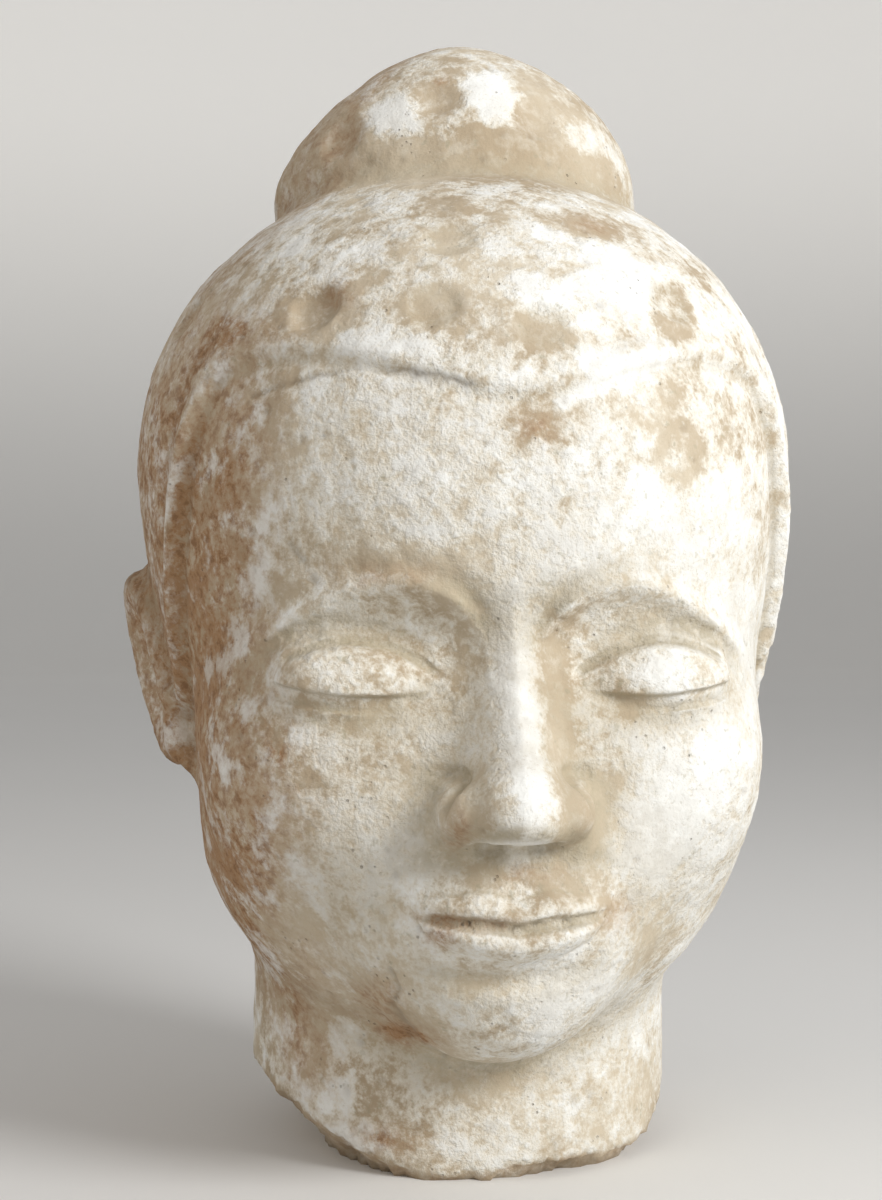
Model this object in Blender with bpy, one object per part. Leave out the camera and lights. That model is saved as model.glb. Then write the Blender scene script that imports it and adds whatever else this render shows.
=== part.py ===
# Stucco head of the Buddha, one cast piece: face, worn cap of hair, topknot, ears and the stub of the neck.
# Metres. The head stands on the flat of its broken neck at z = 0, the face looks along -Y, +Z is up.
import math

import bmesh
import bpy
import numpy as np

# Driving sizes
FACE_HEIGHT = 0.135        # chin to hairline, twelve fingers of the head's canon
NECK_DROP = 0.0281         # flat underside of the neck up to the chin
NECK_SET_BACK = 0.0101     # middle of the neck behind the middle of the face
NECK_WIDTH = 0.0945
NECK_DEPTH = 0.099
SKULL_WIDTH = 0.1429
SKULL_DEPTH = 0.1688
SKULL_HEIGHT = 0.1294
SKULL_RISE = 0.1238        # chin up to the middle of the skull
FACE_WIDTH = 0.1192
JAW_WIDTH = 0.1102
KNOT_WIDTH = 0.0855
KNOT_DEPTH = 0.081
KNOT_HEIGHT = 0.0731
KNOT_RISE = 0.1851         # chin up to the middle of the topknot
EAR_LENGTH = 0.0495
EAR_WIDTH = 0.027
EAR_THICKNESS = 0.0095
LOBE_LENGTH = 0.0428
HAIR_STEP = 0.0022         # hair stands this far proud of the forehead
DIMPLE_RADIUS = 0.0062
DIMPLE_DEPTH = 0.0019
NOSE_REACH = 0.0175        # tip of the nose in front of the upper lip
EYE_WIDTH = 0.0292
MOUTH_WIDTH = 0.0439
BREAK_HEIGHT = 0.0113      # how high the spalled rim of the neck climbs

# How fine the solid is
COARSE_CELL = 0.003
FINE_CELL = 0.0016
TRIANGLES = 9500
SPARED_WEIGHT = 0.5        # thinning weight of the face, 1 elsewhere
SPARED_FACTOR = 0.00003

# Curls lost from the hair: azimuth from the front in degrees, height above the chin in fingers,
# share of the full depth
DIMPLES = ((-30, 13.35, 1.0), (-11, 13.3, 0.5), (4, 12.95, 0.35), (28, 13.6, 0.5), (-9, 14.6, 0.6),
           (-68, 13.6, 0.8), (66, 13.9, 0.6), (106, 13.3, 0.7), (150, 13.9, 0.5),
           (-112, 13.8, 0.6), (-156, 13.1, 0.7))
KNOT_DIMPLES = ((-48, 17.35, 1.0), (-14, 18.05, 0.7), (22, 17.7, 0.8), (130, 17.7, 0.7), (-140, 17.6, 0.8))

FINGER = FACE_HEIGHT / 12


def fingers(size):
    return size / FINGER


def ellipsoid(p, centre, radii):
    q = p - np.asarray(centre, dtype=float)
    near = np.linalg.norm(q / np.asarray(radii), axis=-1)
    far = np.linalg.norm(q / np.square(np.asarray(radii)), axis=-1)
    return near * (near - 1) / np.maximum(far, 1e-9)


def blend(a, b, width):
    h = np.maximum(width - np.abs(a - b), 0) / width
    return np.minimum(a, b) - h * h * width / 4


def cut(a, b, width):
    return -blend(-a, -b, width)


def ease(low, high, v):
    t = np.clip((v - low) / (high - low), 0, 1)
    return t * t * (3 - 2 * t)


def swell(v, width):
    return np.exp(-np.square(v / width))


# Skull, face, jaw, nape, chin, muzzle and cheeks
def headMass(p):
    skullRadii = (fingers(SKULL_WIDTH) / 2, fingers(SKULL_DEPTH) / 2, fingers(SKULL_HEIGHT) / 2)
    d = ellipsoid(p, (0, -0.6, fingers(SKULL_RISE)), skullRadii)
    d = blend(d, ellipsoid(p, (0, 1.2, 6.2), (fingers(FACE_WIDTH) / 2, 5.2, 6.35)), 2.4)
    d = blend(d, ellipsoid(p, (0, 0.9, 3.7), (fingers(JAW_WIDTH) / 2, 4.5, 3.6)), 1.5)
    d = blend(d, ellipsoid(p, (0, -3.0, 6.0), (4.6, 3.4, 5.0)), 2.0)
    d = blend(d, ellipsoid(p, (0, 4.7, 1.45), (1.5, 1.45, 1.35)), 1.8)
    d = blend(d, ellipsoid(p, (0, 4.45, 3.1), (2.45, 2.3, 1.9)), 1.3)
    return blend(d, ellipsoid(p, (3.0, 3.7, 5.3), (1.7, 1.9, 1.7)), 1.8)


# Hollow over the eye and the brow that runs in one line from nose to temple
def browAndSocket(p, d):
    x, f, z = p[..., 0], p[..., 1], p[..., 2]
    d = cut(d, -ellipsoid(p, (2.35, 7.15, 7.35), (2.3, 1.3, 1.0)), 0.9)
    along = np.clip((x - 0.35) / 4.5, 0, 1)
    arch = 7.35 + 1.2 * np.sin(np.pi * along ** 0.72) - 0.1 * along
    mask = ease(0.3, 1.0, x) * ease(4.9, 3.9, x) * ease(2.6, 4.2, f)
    return d - 0.16 * swell(z - arch, 0.24) * mask


# Soft wedge of the bridge, round tip, wings and nostrils
def nose(p, d):
    x, f, z = p[..., 0], p[..., 1], p[..., 2]
    reach = fingers(NOSE_REACH)
    lean = reach / 3.65
    rise = math.sqrt(1 - lean * lean)
    bridge = (f - 6.32) * rise + (z - 8.2) * lean
    half = 0.2 + 0.05 * (8.2 - z)
    wedge = cut(bridge, (x - half) * 0.84 + bridge * 0.54, 0.55)
    shape = blend(wedge, ellipsoid(p, (0, 5.75 + reach, 4.78), (0.72, 0.72, 0.62)), 0.5)
    shape = blend(shape, ellipsoid(p, (0.88, 5.2 + reach, 4.66), (0.5, 0.72, 0.52)), 0.3)
    shape = cut(shape, -(z - 4.08 - 0.16 * (f - 6.8)), 0.4)
    shape = cut(shape, z - 9.2, 1.5)
    shape = cut(shape, 4.6 - f, 0.3)
    d = blend(d, shape, 0.4)
    wing = np.hypot((f - 4.95 - reach) / 0.62, (z - 4.72) / 0.6)
    d = d + 0.09 * swell(wing - 1, 0.16) * ease(0.55, 0.85, x) * ease(1.5, 1.2, x) * ease(4.4, 4.9, z)
    return cut(d, -ellipsoid(p, (0.45, 5.4 + reach, 4.08), (0.22, 0.34, 0.2)), 0.2)


# Lowered lids over a full eyeball, with the fold of the upper lid
def eye(p, d):
    x, f, z = p[..., 0], p[..., 1], p[..., 2]
    half = fingers(EYE_WIDTH) / 2
    u = (x - 2.6) / half
    line = 6.6 + 0.13 * u * u + 0.05 * u
    ball = ellipsoid(p, (2.6, 4.95, 6.85), (half * 1.19, 1.27, 0.95))
    lid = 0.13 * ease(-0.05, 0.06, z - line) + 0.07 * ease(-0.24, -0.36, z - line) - 0.03
    d = blend(d, ball - lid * ease(1.25, 1.0, np.abs(u)), 0.2)
    fold = 7.55 - 0.42 * u * u + 0.08 * u
    return d + 0.07 * swell(z - fold, 0.11) * ease(1.2, 0.9, np.abs(u)) * ease(2.6, 4.2, f)


# Closed lips with a faint lift at the corners, the groove above and the groove below
def mouth(p, d):
    x, f, z = p[..., 0], p[..., 1], p[..., 2]
    front = ease(2.6, 4.2, f)
    half = fingers(MOUTH_WIDTH) / 2
    line = 2.8 + 0.022 * x * x - 0.07 * swell(x, 0.4)
    top = 0.56 * np.sqrt(np.maximum(1 - np.square(x / half), 0))
    top = top - 0.1 * swell(x, 0.3) + 0.04 * swell(x - 0.55, 0.3)
    low = 0.72 * np.sqrt(np.maximum(1 - np.square(x / half / 0.85), 0)) + 0.02
    above = np.clip((z - line) / np.maximum(top, 0.05), 0, 1.6)
    below = np.clip((line - z) / np.maximum(low, 0.05), 0, 1.6)
    upper = (1 - above) * (0.92 + 1.96 * above)
    lower = np.sin(np.pi * np.clip(0.12 + 0.88 * below, 0, 1))
    over = ease(-0.1, 0.1, z - line)
    full = 0.24 * over * np.clip(upper, 0, 1) + 0.3 * (1 - over) * np.clip(lower, 0, 1)
    d = d - full * ease(half, half * 0.4, x) * front
    d = d + 0.13 * swell(z - line, 0.12) * ease(half, half * 0.55, x) * front
    d = d + 0.05 * swell(x, 0.22) * ease(3.2, 3.45, z) * ease(3.95, 3.7, z) * front
    d = d + 0.18 * swell(z - 1.78 - 0.07 * x * x, 0.28) * ease(1.9, 0.5, x) * front
    corner = np.hypot(x - half - 0.1, z - 2.98)
    return d + 0.07 * swell(corner, 0.36) * front


# Edge of the hair: two shallow arches over the forehead, a sideburn, then round behind the ear to the nape
def hairEdge(theta):
    soft = np.sqrt(theta * theta + 36) - 6
    arch = 11.8 + 0.8 * np.sin(np.pi * np.clip(soft, 0, 56) / 56)
    return arch - 5.6 * ease(46, 74, theta) - 3.6 * ease(84, 110, theta)


# Worn cap of hair
def hair(p, d):
    x, f, z = p[..., 0], p[..., 1], p[..., 2]
    theta = np.degrees(np.arctan2(x, f + 0.6))
    slope = (hairEdge(theta + 1) - hairEdge(theta - 1)) / (2 * math.radians(1) * 6.3)
    away = (z - hairEdge(theta)) / np.sqrt(1 + slope ** 2)
    proud = fingers(HAIR_STEP) * (0.65 + 0.35 * ease(30, 55, theta)) * (1 - 0.4 * ease(84, 120, theta))
    roll = 0.1 * swell(away - 0.2, 0.17) - 0.06 * swell(away - 0.62, 0.2)
    roll = roll * ease(47, 56, theta) * ease(96, 80, theta)
    return d - proud * ease(-0.2, 0.2, away) - roll + 0.04 * swell(away + 0.12, 0.1) * ease(100, 80, theta)


# Shallow round dimples where applied curls were lost
def dimples(p, marks, centre, radii):
    total = 0.0
    radius = fingers(DIMPLE_RADIUS)
    depth = fingers(DIMPLE_DEPTH)
    for azimuth, height, share in marks:
        turn = math.radians(azimuth)
        a = math.atan2(math.sin(turn) * radii[1], math.cos(turn) * radii[0])
        level = math.sqrt(max(1 - ((height - centre[2]) / radii[2]) ** 2, 0))
        out = np.asarray((math.sin(a) * radii[0], math.cos(a) * radii[1])) * level
        spot = (centre[0] + out[0], centre[1] + out[1], height)
        away = np.linalg.norm(p - np.asarray(spot), axis=-1) / radius
        total = total + depth * share * ease(1.08, 0.45, away)
    return total


# Flattened dome of the topknot, worn to a slope on -X
def topknot(p, side):
    centre = np.asarray((0.0, -1.3, fingers(KNOT_RISE)))
    radii = np.asarray((fingers(KNOT_WIDTH), fingers(KNOT_DEPTH), fingers(KNOT_HEIGHT))) / 2
    share = np.abs(p - centre) / radii
    dome = (np.sum(share ** 1.85, axis=-1) ** (1 / 1.85) - 1) * 3.3
    worn = 0.739 * (side[..., 2] - centre[2] - 1.35) - 0.674 * (side[..., 0] + radii[0] * 0.9)
    dome = cut(dome, worn, 0.9)
    return dome + dimples(side, KNOT_DIMPLES, centre, radii)


# Ear: a leaning plate with a worn rim, a shallow hollow and a long slit lobe; the lobe on -X is broken off
def ear(p, left):
    x, f, z = p[..., 0], p[..., 1], p[..., 2]
    up = z - 6.7
    across = f + 0.75 + 0.16 * up
    out = x - (5.85 + 0.24 * up - 0.2 * across)
    thick = fingers(EAR_THICKNESS) / 2
    broad = fingers(EAR_WIDTH) / 2 * (1 + 0.3 * np.clip(up / 2.2, -1, 1))
    ring = np.hypot(across / broad, up * 2 / fingers(EAR_LENGTH))
    hollow = np.hypot((across - 0.1) / 0.75, (up - 0.1) / 1.35)
    relief = 0.12 * swell(ring - 0.84, 0.2) - 0.38 * ease(1.15, 0.3, hollow)
    plate = cut((ring - 1) * 1.35, out - thick - relief, 0.45)
    drop = np.stack([out + 0.05, across - 0.1, up + 2.6], axis=-1)
    lobe = ellipsoid(drop, (0, 0, 0), (thick + 0.1, 0.72, fingers(LOBE_LENGTH) / 2))
    lobe = lobe + 0.12 * swell(across - 0.1, 0.2) * ease(-1.9, -2.4, up) * ease(-4.3, -3.8, up)
    whole = blend(plate, lobe, 0.6)
    broken = np.where(left, 4.95 - z - 0.4 * across + 0.12 * np.sin(4 * across), 2.9 - z + 0.3 * across)
    return cut(whole, broken, 0.35)


# Height of the neck's broken underside: flat in the middle, spalled up towards the rim, most on -X
def breakHeight(side):
    halfWide = fingers(NECK_WIDTH) / 2
    halfDeep = fingers(NECK_DEPTH) / 2
    back = side[..., 1] + fingers(NECK_SET_BACK)
    a = np.arctan2(side[..., 0], back)
    r = np.hypot(side[..., 0] / halfWide, back / halfDeep)
    inner = 0.77 + 0.1 * np.cos(a) + 0.09 * np.cos(2 * a) + 0.04 * np.sin(a)
    inner = inner + 0.02 * np.cos(7 * a + 1.0) + 0.025 * np.cos(5 * a + 2.0)
    steep = 3.1 - 0.25 * np.cos(a) - 0.95 * np.cos(2 * a) - 0.4 * np.sin(a) + 0.4 * np.sin(5 * a)
    return -fingers(NECK_DROP) + steep * fingers(BREAK_HEIGHT) * np.maximum(r - inner, 0)


def neck(side):
    halfWide = fingers(NECK_WIDTH) / 2
    halfDeep = fingers(NECK_DEPTH) / 2
    back = side[..., 1] + fingers(NECK_SET_BACK)
    tube = (np.hypot(side[..., 0] / halfWide, back / halfDeep) - 1) * halfWide
    return cut(tube, side[..., 2] - 6, 0.5)


# Distance to the carved surface in fingers, for points given as x, forward, height above the chin
def carved(side):
    p = side.copy()
    p[..., 0] = np.abs(p[..., 0])
    left = side[..., 0] < 0
    d = headMass(p)
    d = browAndSocket(p, d)
    d = nose(p, d)
    d = eye(p, d)
    d = mouth(p, d)
    d = hair(p, d)
    skullRadii = (fingers(SKULL_WIDTH) / 2, fingers(SKULL_DEPTH) / 2, fingers(SKULL_HEIGHT) / 2)
    d = d + dimples(side, DIMPLES, (0, -0.6, fingers(SKULL_RISE)), skullRadii)
    d = blend(d, topknot(p, side), 0.3)
    d = blend(d, ear(p, left), 0.35)
    d = blend(d, neck(side), 0.7)
    return cut(d, breakHeight(side) - side[..., 2], 0.1)


def toCanon(points):
    out = np.empty_like(points)
    out[:, 0] = points[:, 0] / FINGER
    out[:, 1] = -points[:, 1] / FINGER - fingers(NECK_SET_BACK)
    out[:, 2] = (points[:, 2] - NECK_DROP) / FINGER
    return out


def fromCanon(x, forward, height):
    return (x * FINGER, -(forward + fingers(NECK_SET_BACK)) * FINGER, height * FINGER + NECK_DROP)


# Bring every vertex of a mesh onto the carved surface, a little at a time
def carve(obj, rounds, longest):
    mesh = obj.data
    flat = np.empty(len(mesh.vertices) * 3)
    mesh.vertices.foreach_get("co", flat)
    points = flat.reshape(-1, 3)
    pairs = np.empty(len(mesh.edges) * 2, dtype=np.int64)
    mesh.edges.foreach_get("vertices", pairs)
    pairs = pairs.reshape(-1, 2)
    valence = np.maximum(np.bincount(pairs.ravel(), minlength=len(points)), 1)[:, None]
    delta = 0.02
    for turn in range(rounds):
        p = toCanon(points)
        d = carved(p)
        slope = np.empty_like(p)
        for k in range(3):
            shift = np.zeros(3)
            shift[k] = delta
            slope[:, k] = (carved(p + shift) - carved(p - shift)) / (2 * delta)
        size = np.sum(slope * slope, axis=1)
        move = -slope * (d / np.maximum(size, 0.25))[:, None]
        length = np.linalg.norm(move, axis=1)
        move *= np.minimum(1, fingers(longest) / np.maximum(length, 1e-9))[:, None]
        move[:, 1] *= -1
        points = points + move * FINGER
        if turn < rounds - 2:
            around = np.zeros_like(points)
            for k in range(3):
                around[:, k] = np.bincount(pairs[:, 0], points[pairs[:, 1], k], len(points))
                around[:, k] += np.bincount(pairs[:, 1], points[pairs[:, 0], k], len(points))
            relax = around / valence - points
            normal = slope / np.maximum(np.sqrt(size), 1e-6)[:, None]
            normal[:, 1] *= -1
            relax -= normal * np.sum(relax * normal, axis=1)[:, None]
            points = points + relax * 0.4
    mesh.vertices.foreach_set("co", points.ravel())
    mesh.update()


def applyModifier(obj, name):
    bpy.context.view_layer.objects.active = obj
    obj.select_set(True)
    bpy.ops.object.modifier_apply(modifier=name)


def remesh(obj, cell):
    modifier = obj.modifiers.new("even cells", "REMESH")
    modifier.mode = "VOXEL"
    modifier.voxel_size = cell
    applyModifier(obj, modifier.name)


# Block the head in with plain round forms, joined in one mesh
def blockIn():
    parts = []

    def ball(centre, radii):
        place = fromCanon(*centre)
        bpy.ops.mesh.primitive_uv_sphere_add(segments=48, ring_count=24, radius=1, location=place)
        obj = bpy.context.object
        obj.scale = [radius * FINGER for radius in radii]
        bpy.ops.object.transform_apply(location=False, rotation=False, scale=True)
        parts.append(obj)

    skull = [fingers(size) / 2 for size in (SKULL_WIDTH, SKULL_DEPTH, SKULL_HEIGHT)]
    knot = [fingers(size) / 2.3 for size in (KNOT_WIDTH, KNOT_DEPTH, KNOT_HEIGHT)]
    ball((0, -0.6, fingers(SKULL_RISE)), skull)
    ball((0, 1.4, 6.2), (fingers(FACE_WIDTH) / 2, 5.1, 6.2))
    ball((0, -2.8, 6.0), (4.6, 3.6, 5.0))
    ball((0, 4.6, 2.4), (2.0, 1.9, 2.0))
    ball((0, -1.3, fingers(KNOT_RISE)), knot)
    ball((0, 5.6 + fingers(NOSE_REACH) / 2, 5.0), (0.9, 1.3, 0.9))
    for side in (-1, 1):
        ball((side * 5.9, -0.8, 6.7), (0.55, fingers(EAR_WIDTH) / 2, fingers(EAR_LENGTH) / 2))
    ball((5.3, -0.4, 4.2), (0.5, 0.8, 1.6))
    radius = NECK_WIDTH / 2
    top = 5 * FINGER + NECK_DROP
    bpy.ops.mesh.primitive_cylinder_add(vertices=64, radius=radius, depth=top, location=(0, 0, top / 2))
    trunk = bpy.context.object
    trunk.scale = (1, NECK_DEPTH / NECK_WIDTH, 1)
    bpy.ops.object.transform_apply(location=False, rotation=False, scale=True)
    parts.append(trunk)
    bpy.ops.object.select_all(action="DESELECT")
    for obj in parts:
        obj.select_set(True)
    bpy.context.view_layer.objects.active = parts[0]
    bpy.ops.object.join()
    head = bpy.context.object
    bpy.ops.object.transform_apply(location=True, rotation=True, scale=True)
    head.name = "head"
    head.data.name = "head"
    return head


# Thin the mesh, sparing the face and the ears
def thin(obj, triangles):
    group = obj.vertex_groups.new(name="plain")
    points = toCanon(np.array([v.co[:] for v in obj.data.vertices]))
    face = (np.abs(points[:, 0]) < 4.4) & (points[:, 1] > 2.5) & (points[:, 2] > 1.6) & (points[:, 2] < 9.2)
    spared = [int(i) for i in np.flatnonzero(face)]
    plain = [int(i) for i in np.flatnonzero(~face)]
    group.add(plain, 1.0, "REPLACE")
    group.add(spared, SPARED_WEIGHT, "REPLACE")
    modifier = obj.modifiers.new("fewer faces", "DECIMATE")
    modifier.ratio = triangles / (2 * len(obj.data.polygons))
    modifier.vertex_group = group.name
    modifier.vertex_group_factor = SPARED_FACTOR
    applyModifier(obj, modifier.name)


# Level the standing face exactly and make one face of it
def levelFoot(obj):
    work = bmesh.new()
    work.from_mesh(obj.data)
    for v in work.verts:
        if v.co.z < 0.0007:
            v.co.z = 0
    bmesh.ops.dissolve_degenerate(work, dist=0.00005, edges=work.edges)
    flat = [f for f in work.faces if all(abs(v.co.z) < 1e-7 for v in f.verts)]
    bmesh.ops.dissolve_faces(work, faces=flat)
    bmesh.ops.recalc_face_normals(work, faces=work.faces)
    work.to_mesh(obj.data)
    work.free()


def stuccoMaterial():
    material = bpy.data.materials.new("stucco")
    material.use_nodes = True
    shader = material.node_tree.nodes["Principled BSDF"]
    shader.inputs["Base Color"].default_value = (0.72, 0.66, 0.55, 1)
    shader.inputs["Roughness"].default_value = 0.9
    return material


for old in list(bpy.data.objects):
    bpy.data.objects.remove(old, do_unlink=True)

head = blockIn()
remesh(head, COARSE_CELL)
carve(head, 8, 0.004)
remesh(head, FINE_CELL)
carve(head, 5, 0.002)
thin(head, TRIANGLES)
levelFoot(head)
head.data.materials.clear()
head.data.materials.append(stuccoMaterial())
for face in head.data.polygons:
    face.use_smooth = True
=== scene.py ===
import math

import bpy
import numpy as np
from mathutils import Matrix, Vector, noise


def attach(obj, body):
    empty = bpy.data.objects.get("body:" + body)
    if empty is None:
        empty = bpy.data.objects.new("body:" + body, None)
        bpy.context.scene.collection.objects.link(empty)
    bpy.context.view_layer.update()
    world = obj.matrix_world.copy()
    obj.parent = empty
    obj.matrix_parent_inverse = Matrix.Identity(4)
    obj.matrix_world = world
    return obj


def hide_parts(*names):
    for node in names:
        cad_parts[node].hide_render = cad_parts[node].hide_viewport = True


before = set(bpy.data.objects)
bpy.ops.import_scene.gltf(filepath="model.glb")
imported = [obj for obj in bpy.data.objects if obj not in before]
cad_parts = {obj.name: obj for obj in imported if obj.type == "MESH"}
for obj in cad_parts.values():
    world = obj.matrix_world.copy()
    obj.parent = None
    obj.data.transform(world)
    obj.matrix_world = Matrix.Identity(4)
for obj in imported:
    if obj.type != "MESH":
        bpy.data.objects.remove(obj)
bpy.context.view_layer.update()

# The carved head, in fingers of its own canon: across, forward, and height above the chin
headValues = {
    "faceHeight": 0.135,      # chin to hairline in metres, twelve fingers
    "neckDrop": 0.0281,
    "neckSetBack": 0.0101,
    "neckWidth": 0.0945,
    "neckDepth": 0.099,
    "skullWidth": 0.1429,
    "skullDepth": 0.1688,
    "skullHeight": 0.1294,
    "skullRise": 0.1238,
    "faceWidth": 0.1192,
    "jawWidth": 0.1102,
    "knotWidth": 0.0855,
    "knotDepth": 0.081,
    "knotHeight": 0.0731,
    "knotRise": 0.1851,
    "earLength": 0.0495,
    "earWidth": 0.027,
    "earThickness": 0.0095,
    "lobeLength": 0.0428,
    "hairStep": 0.0022,
    "dimpleRadius": 0.0062,
    "dimpleDepth": 0.0019,
    "noseReach": 0.0175,
    "eyeWidth": 0.0292,
    "mouthWidth": 0.0439,
    "breakHeight": 0.0113,
    "coarseCell": 0.0020,     # cell of the even mesh
    "seed": 11,
}
finger = headValues["faceHeight"] / 12
# Where curls were lost: azimuth from the front in degrees, height in fingers, share of the full depth
lostCurls = (
    (-30, 13.35, 1.0), (-11, 13.3, 0.5), (4, 12.95, 0.35), (28, 13.6, 0.5), (-9, 14.6, 0.6), (-68, 13.6, 0.8),
    (66, 13.9, 0.6), (106, 13.3, 0.7), (150, 13.9, 0.5), (-112, 13.8, 0.6), (-156, 13.1, 0.7),
)
knotCurls = ((-48, 17.35, 1.0), (-14, 18.05, 0.7), (22, 17.7, 0.8), (130, 17.7, 0.7), (-140, 17.6, 0.8))


def fingers(name):
    return headValues[name] / finger


def ellipsoid(p, centre, radii):
    q = p - np.asarray(centre, dtype=float)
    near = np.linalg.norm(q / np.asarray(radii), axis=-1)
    far = np.linalg.norm(q / np.square(np.asarray(radii)), axis=-1)
    return near * (near - 1) / np.maximum(far, 1e-9)


def melt(a, b, width):
    h = np.maximum(width - np.abs(a - b), 0) / width
    return np.minimum(a, b) - h * h * width / 4


def cut(a, b, width):
    return -melt(-a, -b, width)


def ease(low, high, v):
    t = np.clip((v - low) / (high - low), 0, 1)
    return t * t * (3 - 2 * t)


def swell(v, width):
    return np.exp(-np.square(v / width))


def skullCentre():
    return np.array((0, -0.6, fingers("skullRise")))


def skullRadii():
    return np.array((fingers("skullWidth"), fingers("skullDepth"), fingers("skullHeight"))) / 2


def knotCentre():
    return np.array((0, -1.3, fingers("knotRise")))


def knotRadii():
    return np.array((fingers("knotWidth"), fingers("knotDepth"), fingers("knotHeight"))) / 2


def headMass(p):
    d = ellipsoid(p, skullCentre(), skullRadii())
    d = melt(d, ellipsoid(p, (0, 1.2, 6.2), (fingers("faceWidth") / 2, 5.2, 6.35)), 2.4)
    d = melt(d, ellipsoid(p, (0, 0.9, 3.7), (fingers("jawWidth") / 2, 4.5, 3.6)), 1.5)
    d = melt(d, ellipsoid(p, (0, -3.0, 6.0), (4.6, 3.4, 5.0)), 2.0)     # nape
    d = melt(d, ellipsoid(p, (0, 4.7, 1.45), (1.5, 1.45, 1.35)), 1.8)   # chin
    d = melt(d, ellipsoid(p, (0, 4.45, 3.1), (2.45, 2.3, 1.9)), 1.3)    # muzzle
    return melt(d, ellipsoid(p, (3.0, 3.7, 5.3), (1.7, 1.9, 1.7)), 1.8)  # cheek


def carveBrow(p, d):
    x, f, z = p[..., 0], p[..., 1], p[..., 2]
    d = cut(d, -ellipsoid(p, (2.35, 7.15, 7.35), (2.3, 1.3, 1.0)), 0.9)
    along = np.clip((x - 0.35) / 4.5, 0, 1)
    arch = 7.35 + 1.2 * np.sin(np.pi * along ** 0.72) - 0.1 * along
    mask = ease(0.3, 1.0, x) * ease(4.9, 3.9, x) * ease(2.6, 4.2, f)
    return d - 0.16 * swell(z - arch, 0.24) * mask


def carveNose(p, d):
    x, f, z = p[..., 0], p[..., 1], p[..., 2]
    reach = fingers("noseReach")
    lean = reach / 3.65
    rise = math.sqrt(1 - lean * lean)
    bridge = (f - 6.32) * rise + (z - 8.2) * lean
    half = 0.2 + 0.05 * (8.2 - z)
    wedge = cut(bridge, (x - half) * 0.84 + bridge * 0.54, 0.55)
    shape = melt(wedge, ellipsoid(p, (0, 5.75 + reach, 4.78), (0.72, 0.72, 0.62)), 0.5)
    shape = melt(shape, ellipsoid(p, (0.88, 5.2 + reach, 4.66), (0.5, 0.72, 0.52)), 0.3)
    shape = cut(shape, -(z - 4.08 - 0.16 * (f - 6.8)), 0.4)
    shape = cut(shape, z - 9.2, 1.5)
    shape = cut(shape, 4.6 - f, 0.3)
    d = melt(d, shape, 0.4)
    wing = np.hypot((f - 4.95 - reach) / 0.62, (z - 4.72) / 0.6)
    d = d + 0.09 * swell(wing - 1, 0.16) * ease(0.55, 0.85, x) * ease(1.5, 1.2, x) * ease(4.4, 4.9, z)
    return cut(d, -ellipsoid(p, (0.45, 5.4 + reach, 4.08), (0.22, 0.34, 0.2)), 0.2)


def carveEye(p, d):
    x, f, z = p[..., 0], p[..., 1], p[..., 2]
    half = fingers("eyeWidth") / 2
    u = (x - 2.6) / half
    line = 6.6 + 0.13 * u * u + 0.05 * u
    ball = ellipsoid(p, (2.6, 4.95, 6.85), (half * 1.19, 1.27, 0.95))
    lid = 0.13 * ease(-0.03, 0.05, z - line) + 0.07 * ease(-0.24, -0.32, z - line) - 0.03
    d = melt(d, ball - lid * ease(1.25, 1.0, np.abs(u)), 0.2)
    fold = 7.55 - 0.42 * u * u + 0.08 * u
    return d + 0.07 * swell(z - fold, 0.09) * ease(1.2, 0.9, np.abs(u)) * ease(2.6, 4.2, f)


def carveMouth(p, d):
    x, f, z = p[..., 0], p[..., 1], p[..., 2]
    front = ease(2.6, 4.2, f)
    half = fingers("mouthWidth") / 2
    line = 2.8 + 0.022 * x * x - 0.07 * swell(x, 0.4)
    top = 0.56 * np.sqrt(np.maximum(1 - np.square(x / half), 0))
    top = top - 0.1 * swell(x, 0.3) + 0.04 * swell(x - 0.55, 0.3)
    low = 0.72 * np.sqrt(np.maximum(1 - np.square(x / half / 0.85), 0)) + 0.02
    above = np.clip((z - line) / np.maximum(top, 0.05), 0, 1.6)
    below = np.clip((line - z) / np.maximum(low, 0.05), 0, 1.6)
    upper = (1 - above) * (0.92 + 1.96 * above)
    lower = np.sin(np.pi * np.clip(0.12 + 0.88 * below, 0, 1))
    over = ease(-0.1, 0.1, z - line)
    full = 0.24 * over * np.clip(upper, 0, 1) + 0.3 * (1 - over) * np.clip(lower, 0, 1)
    d = d - full * ease(half, half * 0.4, x) * front
    d = d + 0.13 * swell(z - line, 0.1) * ease(half, half * 0.55, x) * front
    d = d + 0.05 * swell(x, 0.22) * ease(3.2, 3.45, z) * ease(3.95, 3.7, z) * front
    d = d + 0.18 * swell(z - 1.78 - 0.07 * x * x, 0.28) * ease(1.9, 0.5, x) * front
    corner = np.hypot(x - half - 0.1, z - 2.98)
    return d + 0.07 * swell(corner, 0.36) * front


def hairEdge(theta):
    soft = np.sqrt(theta * theta + 36) - 6
    arch = 11.8 + 0.8 * np.sin(np.pi * np.clip(soft, 0, 56) / 56)
    return arch - 5.6 * ease(46, 74, theta) - 3.6 * ease(84, 110, theta)


def fromHairEdge(p):
    theta = np.degrees(np.arctan2(p[..., 0], p[..., 1] + 0.6))
    slope = (hairEdge(theta + 1) - hairEdge(theta - 1)) / (2 * math.radians(1) * 6.3)
    return (p[..., 2] - hairEdge(theta)) / np.sqrt(1 + slope ** 2), theta


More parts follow.
